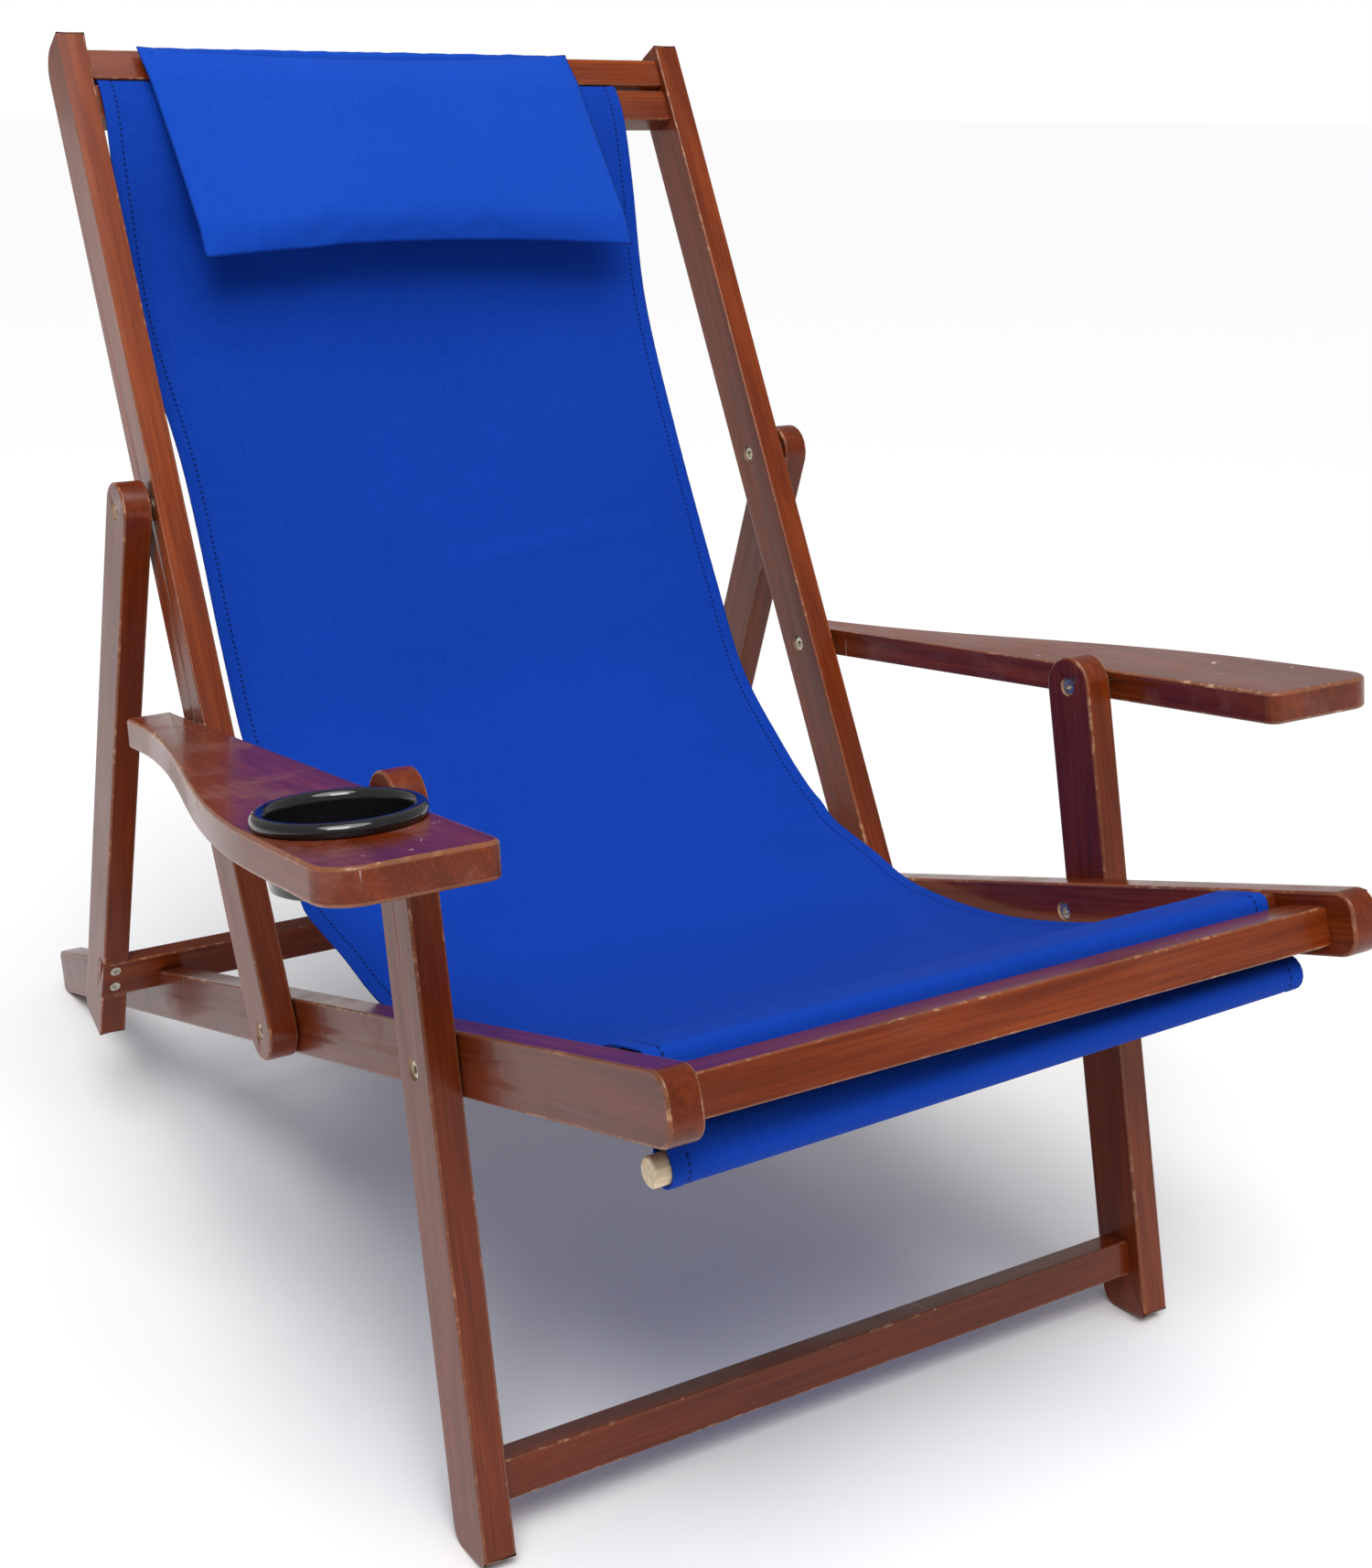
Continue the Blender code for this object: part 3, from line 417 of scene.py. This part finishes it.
def dress_timber():
    lean_of_rail = -90 + RAIL_SLOPE
    lean_of_arm = -90 + ARM_SLOPE
    # The fourth column sets the strength of the chipped wear and the painted edge highlight.
    boards = (
        ("upright", BACK_LEAN, 0.06, 0.5, 0.0, 0.0018),
        ("seat_rail", lean_of_rail, -0.06, 0.6, 0.2, 0.0020),
        ("leg", LEG_LEAN, -0.03, 0.5, 0.0, 0.0018),
        ("prop_leg", PROP_LEAN, -0.02, 0.5, 0.0, 0.0018),
        ("armrest", lean_of_arm, -0.02, 0.9, 0.8, 0.0024),
    )
    for index, (name, lean, tone, wear_and_highlight, scuffs, width) in enumerate(boards):
        for side, more in (("left", 0.5), ("right", 0.0)):
            dress_board(f"{name}_{side}", along_board(lean), index + 1 + more, tone, wear_and_highlight, scuffs, width)
    rails = {"front_rail": 0.02, "sling_rail": 0, "stretcher": -0.04}
    head_rails = {"lower_head_rail": 0.03, "upper_head_rail": 0.05}
    for index, (name, tone) in enumerate({**rails, **head_rails, "prop_bar": -0.02}.items()):
        dress_board(name, ALONG_X, 11 + index, tone, 0.5, 0.1, 0.0014, 0.1)


def dress_hardware():
    steel = plated_steel()
    pale = bare_timber("pale_dowel", ALONG_X, 3.0, (0.70, 0.55, 0.37))
    for name, node in NODES.items():
        if any(word in name for word in ("_bolt_", "_nut_", "_washer_", "_insert_", "screw")):
            finish = steel
        elif name.endswith("dowel"):
            finish = pale
        else:
            continue
        node.data.materials.clear()
        node.data.materials.append(finish)
        shade(node)
        weld = node.modifiers.new("weld", "WELD")
        weld.merge_threshold = WELD_GAP
        bevel = node.modifiers.new("round", "BEVEL")
        bevel.limit_method, bevel.angle_limit = "ANGLE", math.radians(38)
        bevel.width, bevel.segments, bevel.harden_normals = 0.0003, 2, True


# Cloth pieces


def spline(points, steps):
    """Points of a Catmull-Rom curve through the given ones, with that many steps in each span."""
    ends = [2 * points[0] - points[1], *points, 2 * points[-1] - points[-2]]
    curve = []
    for a, b, c, d, count in zip(ends, ends[1:], ends[2:], ends[3:], steps):
        for step in range(count):
            t = step / count
            bend = (2 * a - 5 * b + 4 * c - d) * t * t + (3 * b - a - 3 * c + d) * t**3
            curve.append(b + ((c - a) * t + bend) / 2)
    return [*curve, points[-1]]


def cloth_grid(name, rows, uvs, finish, thickness, thick=None):
    """A sheet from rows of points, with its flat size as UVs, given a thickness."""
    mesh = bpy.data.meshes.new(name)
    width = len(rows[0])
    points = [p for row in rows for p in row]
    faces = [
        (r * width + c, r * width + c + 1, (r + 1) * width + c + 1, (r + 1) * width + c)
        for r in range(len(rows) - 1)
        for c in range(width - 1)
    ]
    mesh.from_pydata(points, [], faces)
    layer = mesh.uv_layers.new(name="cloth")
    flat = [uv for row in uvs for uv in row]
    for loop in mesh.loops:
        layer.data[loop.index].uv = flat[loop.vertex_index]
    mesh.materials.append(finish)
    mesh.shade_smooth()
    made = bpy.data.objects.new(name, mesh)
    bpy.context.scene.collection.objects.link(made)
    solid = made.modifiers.new("thickness", "SOLIDIFY")
    solid.thickness, solid.offset = thickness, 0.0
    if thick:
        group = made.vertex_groups.new(name="thick")
        for index, weight in enumerate(w for row in thick for w in row):
            group.add([index], weight, "REPLACE")
        solid.vertex_group = "thick"
    return made


def grid_normals(rows):
    """The unit normal at each point of a grid."""
    last_r, last_c = len(rows) - 1, len(rows[0]) - 1
    normals = []
    for r, row in enumerate(rows):
        line = []
        for c in range(len(row)):
            down = rows[min(r + 1, last_r)][c] - rows[max(r - 1, 0)][c]
            across = row[min(c + 1, last_c)] - row[max(c - 1, 0)]
            line.append(across.cross(down).normalized())
        normals.append(line)
    return normals


def step_between(value, low, high):
    t = min(max((value - low) / (high - low), 0.0), 1.0)
    return t * t * (3 - 2 * t)


def bell(value, width):
    return math.exp(-((value / width) ** 2))


HEAD_STEPS, FREE_FROM, FREE_TO = 19, 5, 6
HEM_COLUMNS = (0.0, 0.0011, 0.004, 0.0082, 0.0095, HEM, 0.0115, 0.0130, 0.0165, 0.022)
POCKET = 10.7
HEAD_DOWEL, FRONT_RIGHT, FRONT_LEFT = (744.4, -19.5), (503.0, -42.0), (513.0, -29.0)
BACK_LINE = (
    (755.0, -9.0), (755.0, 12.0), (755.0, 15.5), (754.2, 18.0), (751.5, 18.9), (722.0, 19.5), (667.0, 5.0),
    (567.0, -26.0), (445.0, -35.0), (297.0, -36.0), (216.0, -32.0), (141.0, -3.0), (98.0, 19.0), (84.0, 30.0),
)
SEAT_LINE = (
    (30.0, 71.0), (77.0, 45.0), (131.0, 17.0), (240.0, -4.0), (369.0, -3.0), (434.0, 13.0), (460.0, 21.0),
    (497.0, 21.0), (500.6, 19.2), (502.0, 15.0), (502.0, -14.0),
)


def circle_points(centre, first, last, steps):
    turns = [math.radians(first + (last - first) * k / steps) for k in range(steps + 1)]
    return [(centre[0] + POCKET * math.cos(a), centre[1] + POCKET * math.sin(a)) for a in turns]


def sling_controls(part):
    """The line of the sling from the head pocket to the front pocket, at a share of its width from the right edge."""
    line = []
    for s, n in (*circle_points(HEAD_DOWEL, -320, -16, HEAD_STEPS), *BACK_LINE):
        right = -239.5 - 7.5 * step_between(118 - s, 0, 34) - 20 * step_between(s, 430, 640)
        left = 211 + 13 * min(max((755 - s) / 671, 0), 1)
        line.append(UPRIGHT.point(right + (left - right) * part, s, n))
    for s, n in SEAT_LINE:
        right, left = -239 - 8 * step_between(120 - s, 0, 90), 224 + 3 * min(max((s - 30) / 90, 0), 1)
        line.append(RAIL.point(right + (left - right) * part, s, n))
    centre = [a + (b - a) * part for a, b in zip(FRONT_RIGHT, FRONT_LEFT)]
    for s, n in (*circle_points(centre, 180, 380 + 50 * part, 12), (505.4, -16.0)):
        line.append(RAIL.point(-239 + 466 * part, s, n))
    return line


def make_sling(finish):
    middle = sling_controls(0.5)
    steps = [max(1, round((b - a).length / 0.0075)) for a, b in zip(middle, middle[1:])]
    width = SLING_WIDTH
    inner = [0.022 + (width - 0.044) * k / 36 for k in range(1, 36)]
    columns = [*HEM_COLUMNS, *inner, *(width - d for d in reversed(HEM_COLUMNS))]
    strands = [spline(sling_controls(d / width), steps) for d in columns]
    rows = [list(row) for row in zip(*strands)]
    rows_length = [0.0]
    half = len(columns) // 2
    for one, other in zip(rows, rows[1:]):
        rows_length.append(rows_length[-1] + (other[half] - one[half]).length)
    normals = grid_normals(rows)
    waist = HEAD_STEPS + 1 + len(BACK_LINE)
    first_open = rows_length[sum(steps[: HEAD_STEPS + 1 + FREE_FROM])]
    last_open = rows_length[sum(steps[: waist + FREE_TO])]
    creases = crease_lines(first_open)
    waist_place = rows_length[sum(steps[:waist])]
    shaped, uvs, thick = [], [], []
    for r, row in enumerate(rows):
        u = rows_length[r]
        open_part = step_between(u, first_open, first_open + 0.07)
        open_part *= 1 - step_between(u, last_open - 0.05, last_open)
        line, flat, weights = [], [], []
        for c, point in enumerate(row):
            v = columns[c]
            edge = min(v, width - v)
            lift = 0.0022 * noise.noise(Vector((u * 5.5, v * 5.0, 4.0)))
            lift += 0.0007 * noise.noise(Vector((u * 17, v * 15, 9.0)))
            lift *= step_between(edge, 0.0, 0.05) * 0.8 + 0.2
            for crease in creases:
                lift += crease(u, v)
            pucker = 0.00035 * math.sin(u * 400 + 3 * noise.noise(Vector((u * 30, 0, 0)))) * bell(edge - HEM, 0.010)
            pull = bell(u - waist_place, 0.11) * (1 - step_between(v, 0.0, 0.16))
            lift = (lift + pucker - 0.009 * pull) * open_part
            lift -= 0.00025 * bell(edge - HEM, 0.0009)
            line.append(point + normals[r][c] * lift)
            flat.append((v, u))
            weights.append(1.0 if edge < HEM - 0.0012 else 0.62 if edge < HEM + 0.0006 else 0.68)
        shaped.append(line)
        uvs.append(flat)
        thick.append(weights)
    sling = cloth_grid("sling", shaped, uvs, finish, 0.0017, thick)
    return sling, rows_length[-1]


def crease_lines(first_open):
    """Soft folds of the sling, each a ridge along a slightly sloping line part of the way across."""

    def fold(start, slope, v_low, v_high, width, height):
        def lift(u, v):
            inside = step_between(v, v_low, v_low + 0.05) * (1 - step_between(v, v_high - 0.05, v_high))
            off = u - start - slope * v - 0.004 * noise.noise(Vector((v * 14, start, 1.0)))
            return height * inside * (bell(off, width) - 0.8 * bell(off - 1.7 * width, width))

        return lift

    return [
        fold(first_open + 0.577, 0.03, 0.06, 0.46, 0.0050, 0.0021),
        fold(first_open + 0.395, -0.10, 0.20, 0.44, 0.0065, 0.0018),
        fold(first_open + 0.06, 0.55, 0.02, 0.14, 0.012, 0.0020),
        fold(first_open + 0.66, -0.12, 0.25, 0.45, 0.008, 0.0016),
    ]


def lathe(name, view, centre, profile, steps, finish):
    """A turned piece round an axis that stands out of the board at centre (x, s), from (height, radius) points."""
    points, faces = [], []
    for height, radius in profile:
        for k in range(steps):
            a = math.tau * k / steps
            points.append(view.point(centre[0] + radius * math.cos(a), centre[1] + radius * math.sin(a), height))
    for ring in range(len(profile) - 1):
        for k in range(steps):
            after = (k + 1) % steps
            faces.append((ring * steps + k, ring * steps + after, (ring + 1) * steps + after, (ring + 1) * steps + k))
    work = bmesh.new()
    verts = [work.verts.new(p) for p in points]
    for face in faces:
        work.faces.new([verts[i] for i in face])
    work.faces.new(verts[:steps])
    work.faces.new(verts[-steps:])
    bmesh.ops.recalc_face_normals(work, faces=work.faces)
    mesh = bpy.data.meshes.new(name)
    work.to_mesh(mesh)
    work.free()
    mesh.shade_smooth()
    mesh.set_sharp_from_angle(angle=math.radians(50))
    mesh.materials.append(finish)
    made = bpy.data.objects.new(name, mesh)
    bpy.context.scene.collection.objects.link(made)
    return made


def make_cup(finish):
    """The drop-in cup: a plump lip on the armrest, and a well with a small step near its floor."""
    lip = [
        (-27.0, 34.0), (-26.6, 38.5), (-25.0, 41.4), (-22.0, 43.0), (5.0, 43.4), (11.6, 43.5),
        (11.5, 49.4), (12.4, 50.5), (14.4, 51.3), (16.3, 51.2), (18.2, 50.2), (19.5, 48.6),
        (19.9, 46.9), (19.6, 45.3), (18.5, 43.7), (16.8, 42.6), (14.0, 42.0), (6.0, 41.6),
        (-14.0, 40.6), (-15.5, 39.6), (-23.0, 39.0), (-24.8, 37.6), (-25.2, 34.0), (-25.2, 12.0),
    ]
    flat = [Vector((h, r, 0)) for h, r in lip]
    steps = [1 if (b - a).length > 12 or i in (5,) else 3 for i, (a, b) in enumerate(zip(flat, flat[1:]))]
    profile = [(p.x, p.y) for p in spline(flat, steps)]
    cup = lathe("cup", ARM, (-337.8, 64.0), profile, 96, finish)
    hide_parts("cup_holder")
    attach(cup, "armrest_right_body")
    return cup


PILLOW_BOTTOM, PILLOW_TOP, PILLOW_HALF = 598.0, 782.0, 195.0


def make_pillow(finish):
    """Two panels sewn round their edge, blown up by a cloth simulation and hung in front of the head rails."""
    columns, lines = 68, 33
    half_w, half_h = PILLOW_HALF * MM, (PILLOW_TOP - PILLOW_BOTTOM) / 2 * MM
    work = bmesh.new()
    panels = []
    for side in (1, -1):
        grid = []
        for r in range(lines + 1):
            row = []
            for c in range(columns + 1):
                rim = r in (0, lines) or c in (0, columns)
                if rim and side < 0:
                    row.append(panels[0][r][c])
                    continue
                x, y = -half_w + 2 * half_w * c / columns, half_h - 2 * half_h * r / lines
                inset = min(half_w - abs(x), half_h - abs(y))
                puff = 0.0 if rim else side * (0.0035 + 0.0035 * step_between(inset, 0.0, 0.02))
                row.append(work.verts.new((x, y, puff)))
            grid.append(row)
        panels.append(grid)
    for side, grid in zip((1, -1), panels):
        for r in range(lines):
            for c in range(columns):
                face = [grid[r][c], grid[r + 1][c], grid[r + 1][c + 1], grid[r][c + 1]]
                work.faces.new(face if side > 0 else face[::-1])
    mesh = bpy.data.meshes.new("pillow_pad")
    work.verts.index_update()
    rim_edges = {frozenset((a.index, b.index)) for a, b in rim_pairs(panels[0])}
    work.to_mesh(mesh)
    work.free()
    pad = bpy.data.objects.new("pillow_pad", mesh)
    bpy.context.scene.collection.objects.link(pad)
    inflate(pad)
    place_pillow(pad, half_w, half_h)
    crease = pad.data.attributes.new("crease_edge", "FLOAT", "EDGE")
    for edge in pad.data.edges:
        crease.data[edge.index].value = 0.75 if frozenset(edge.vertices) in rim_edges else 0.0
    pad.data.shade_smooth()
    smooth = pad.modifiers.new("smooth", "SUBSURF")
    smooth.levels = smooth.render_levels = 1
    pad.data.materials.append(finish)
    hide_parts("pillow")
    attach(pad, "pillow_body")
    return pad


def rim_pairs(grid):
    """The edges round the rim of a grid."""
    outline = [*grid[0], *(row[-1] for row in grid[1:]), *reversed(grid[-1][:-1])]
    outline += [row[0] for row in reversed(grid[1:-1])]
    return list(zip(outline, [*outline[1:], outline[0]]))


def inflate(pad):
    """Runs the cloth simulation and keeps its result in the mesh."""
    cloth = pad.modifiers.new("cloth", "CLOTH")
    settings = cloth.settings
    settings.quality, settings.mass = 6, 0.25
    settings.tension_stiffness = settings.compression_stiffness = 30
    settings.shear_stiffness, settings.bending_stiffness = 12, 2.5
    settings.use_pressure, settings.uniform_pressure_force = True, 2.2
    settings.effector_weights.gravity = 0.0
    cloth.point_cache.frame_start, cloth.point_cache.frame_end = 1, 16
    scene = bpy.context.scene
    for number in range(1, 17):
        scene.frame_set(number)
    blown = bpy.data.meshes.new_from_object(pad.evaluated_get(bpy.context.evaluated_depsgraph_get()))
    pad.modifiers.remove(cloth)
    pad.data = blown
    scene.frame_set(1)


def place_pillow(pad, half_w, half_h):
    """Scales the pad to its real size and thickness and hangs it in the upright's frame."""
    xs = [v.co.x for v in pad.data.vertices]
    ys = [v.co.y for v in pad.data.vertices]
    zs = [abs(v.co.z) for v in pad.data.vertices]
    grow_x, grow_y = 2 * half_w / (max(xs) - min(xs)), 2 * half_h / (max(ys) - min(ys))
    deepest = max(zs)
    for vertex in pad.data.vertices:
        x, y, z = vertex.co
        x, y = x * grow_x, y * grow_y
        depth = 10.5 * z / deepest
        s = (PILLOW_TOP + PILLOW_BOTTOM) / 2 + y / MM
        part = (s - PILLOW_BOTTOM) / (PILLOW_TOP - PILLOW_BOTTOM)
        base = 30.0 - 5.0 * step_between(part, 0.80, 1.0) - 5.5 * step_between(1 - part, 0.84, 1.0)
        wrinkle = 0.5 * noise.noise(Vector((x * 45, y * 30, 2.0))) + 0.9 * noise.noise(Vector((x * 12, y * 14, 7.0)))
        if z < 0:
            wrinkle = -wrinkle
        shift = -10.5 - 19.5 * part
        vertex.co = UPRIGHT.point(x / MM + shift, s, base + depth + wrinkle * abs(z) / deepest)
    pad.data.update()


def make_flap(finish):
    """The strip that the pillow hangs from, over the upper head rail and down behind it, puckered by its seam."""
    line = (
        (772.0, 19.2), (777.0, 19.2), (781.0, 19.0), (783.6, 18.0), (784.9, 15.5), (785.1, 9.0),
        (785.1, 1.0), (784.9, -4.2), (783.5, -6.8), (780.5, -7.6), (770.0, -7.7), (760.5, -7.6),
    )
    across = 120
    controls = [UPRIGHT.point(0, s, n) for s, n in line]
    steps = [max(1, round((b - a).length / 0.0022)) for a, b in zip(controls, controls[1:])]
    shared = spline(controls, steps)
    length = [0.0]
    for a, b in zip(shared, shared[1:]):
        length.append(length[-1] + (b - a).length)
    rows, uvs = [], []
    for point, u in zip(shared, length):
        row, flat = [], []
        for k in range(across + 1):
            x = -205.0 + 355.0 * k / across
            row.append(point + Vector((x * MM, 0, 0)))
            flat.append((x * MM, u))
        rows.append(row)
        uvs.append(flat)
    normals = grid_normals(rows)
    for r, row in enumerate(rows):
        u = length[r]
        for k in range(across + 1):
            x = uvs[r][k][0]
            wave = noise.noise(Vector((x * 48, 0.0, 3.0))) + 0.5 * noise.noise(Vector((x * 120, 1.0, 3.0)))
            row[k] = row[k] + normals[r][k] * 0.0009 * max(wave + 0.35, 0.0) * bell(u - 0.014, 0.012)
    flap = cloth_grid("pillow_strap", rows, uvs, finish, 0.0012)
    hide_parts("pillow_flap")
    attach(flap, "back_frame")
    return flap


# Floor, light and camera


def make_stage():
    mesh = bpy.data.meshes.new("floor")
    wide = 60
    mesh.from_pydata([(-wide, -wide, 0), (wide, -wide, 0), (wide, wide, 0), (-wide, wide, 0)], [], [(0, 1, 2, 3)])
    floor = bpy.data.objects.new("floor", mesh)
    bpy.context.scene.collection.objects.link(floor)
    made = Nodes("pale_floor")
    made.fixed(Base_Color=(0.92, 0.92, 0.92, 1.0), Roughness=1.0, Specular_IOR_Level=0.0)
    mesh.materials.append(made.material)


def area_light(name, place, aim, size, power, colour=(1, 1, 1)):
    data = bpy.data.lights.new(name, "AREA")
    data.shape, data.size, data.energy, data.color = "SQUARE", size, power, colour
    lamp = bpy.data.objects.new(name, data)
    lamp.location = place
    lamp.rotation_euler = (Vector(aim) - Vector(place)).to_track_quat("-Z", "Y").to_euler()
    bpy.context.scene.collection.objects.link(lamp)


def make_light():
    scene = bpy.context.scene
    world = bpy.data.worlds.new("studio")
    world.use_nodes = True
    nodes, links = world.node_tree.nodes, world.node_tree.links
    light, backdrop = nodes["Background"], nodes.new("ShaderNodeBackground")
    path, mix = nodes.new("ShaderNodeLightPath"), nodes.new("ShaderNodeMixShader")
    light.inputs["Color"].default_value = backdrop.inputs["Color"].default_value = (1.0, 1.0, 1.0, 1.0)
    light.inputs["Strength"].default_value, backdrop.inputs["Strength"].default_value = 0.38, 1.0
    links.new(path.outputs["Is Camera Ray"], mix.inputs[0])
    links.new(light.outputs[0], mix.inputs[1])
    links.new(backdrop.outputs[0], mix.inputs[2])
    links.new(mix.outputs[0], nodes["World Output"].inputs[0])
    scene.world = world
    area_light("key", (-1.2, -2.0, 3.0), (0, -0.1, 0.45), 1.3, 40)
    data = bpy.data.lights.new("overhead", "SUN")
    data.energy, data.angle = 2.3, math.radians(50)
    lamp = bpy.data.objects.new("overhead", data)
    lamp.rotation_euler = Vector((0.12, 0.42, -1.0)).to_track_quat("-Z", "Y").to_euler()
    bpy.context.scene.collection.objects.link(lamp)
    scene.view_settings.view_transform = "Standard"
    scene.view_settings.look = "None"


def make_camera():
    place = Vector((-0.7656, -1.4074, 0.8841))
    yaw, pitch, roll = (math.radians(a) for a in (31.09, -15.553, 0.591))
    ahead = Vector((math.sin(yaw) * math.cos(pitch), math.cos(yaw) * math.cos(pitch), math.sin(pitch)))
    level = Vector((math.cos(yaw), -math.sin(yaw), 0))
    up = level.cross(ahead)
    right = math.cos(roll) * level + math.sin(roll) * up
    top = -math.sin(roll) * level + math.cos(roll) * up
    data = bpy.data.cameras.new("camera")
    data.sensor_fit, data.sensor_width, data.lens = "HORIZONTAL", 36.0, 54.94
    data.shift_x, data.shift_y = 0.0229, -0.0789
    camera = bpy.data.objects.new("camera", data)
    turned = Matrix((right, top, -ahead)).transposed().to_4x4()
    camera.matrix_world = Matrix.Translation(place) @ turned
    bpy.context.scene.collection.objects.link(camera)
    bpy.context.scene.camera = camera


make_camera()
make_light()
make_stage()
dress_timber()
dress_hardware()
sling_cloth = canvas("blue_canvas_weave", (0.0007, 0.038, 0.335), hemmed=SLING_WIDTH)
pillow_cloth = canvas("pillow_canvas_weave", (0.0030, 0.055, 0.42), uv=False)
sling, sling_length = make_sling(sling_cloth)
make_cup(gloss_plastic())
make_pillow(pillow_cloth)
make_flap(canvas("strap_canvas_weave", (0.0030, 0.055, 0.42)))
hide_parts("back_sling", "seat_sling")
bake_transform(sling)
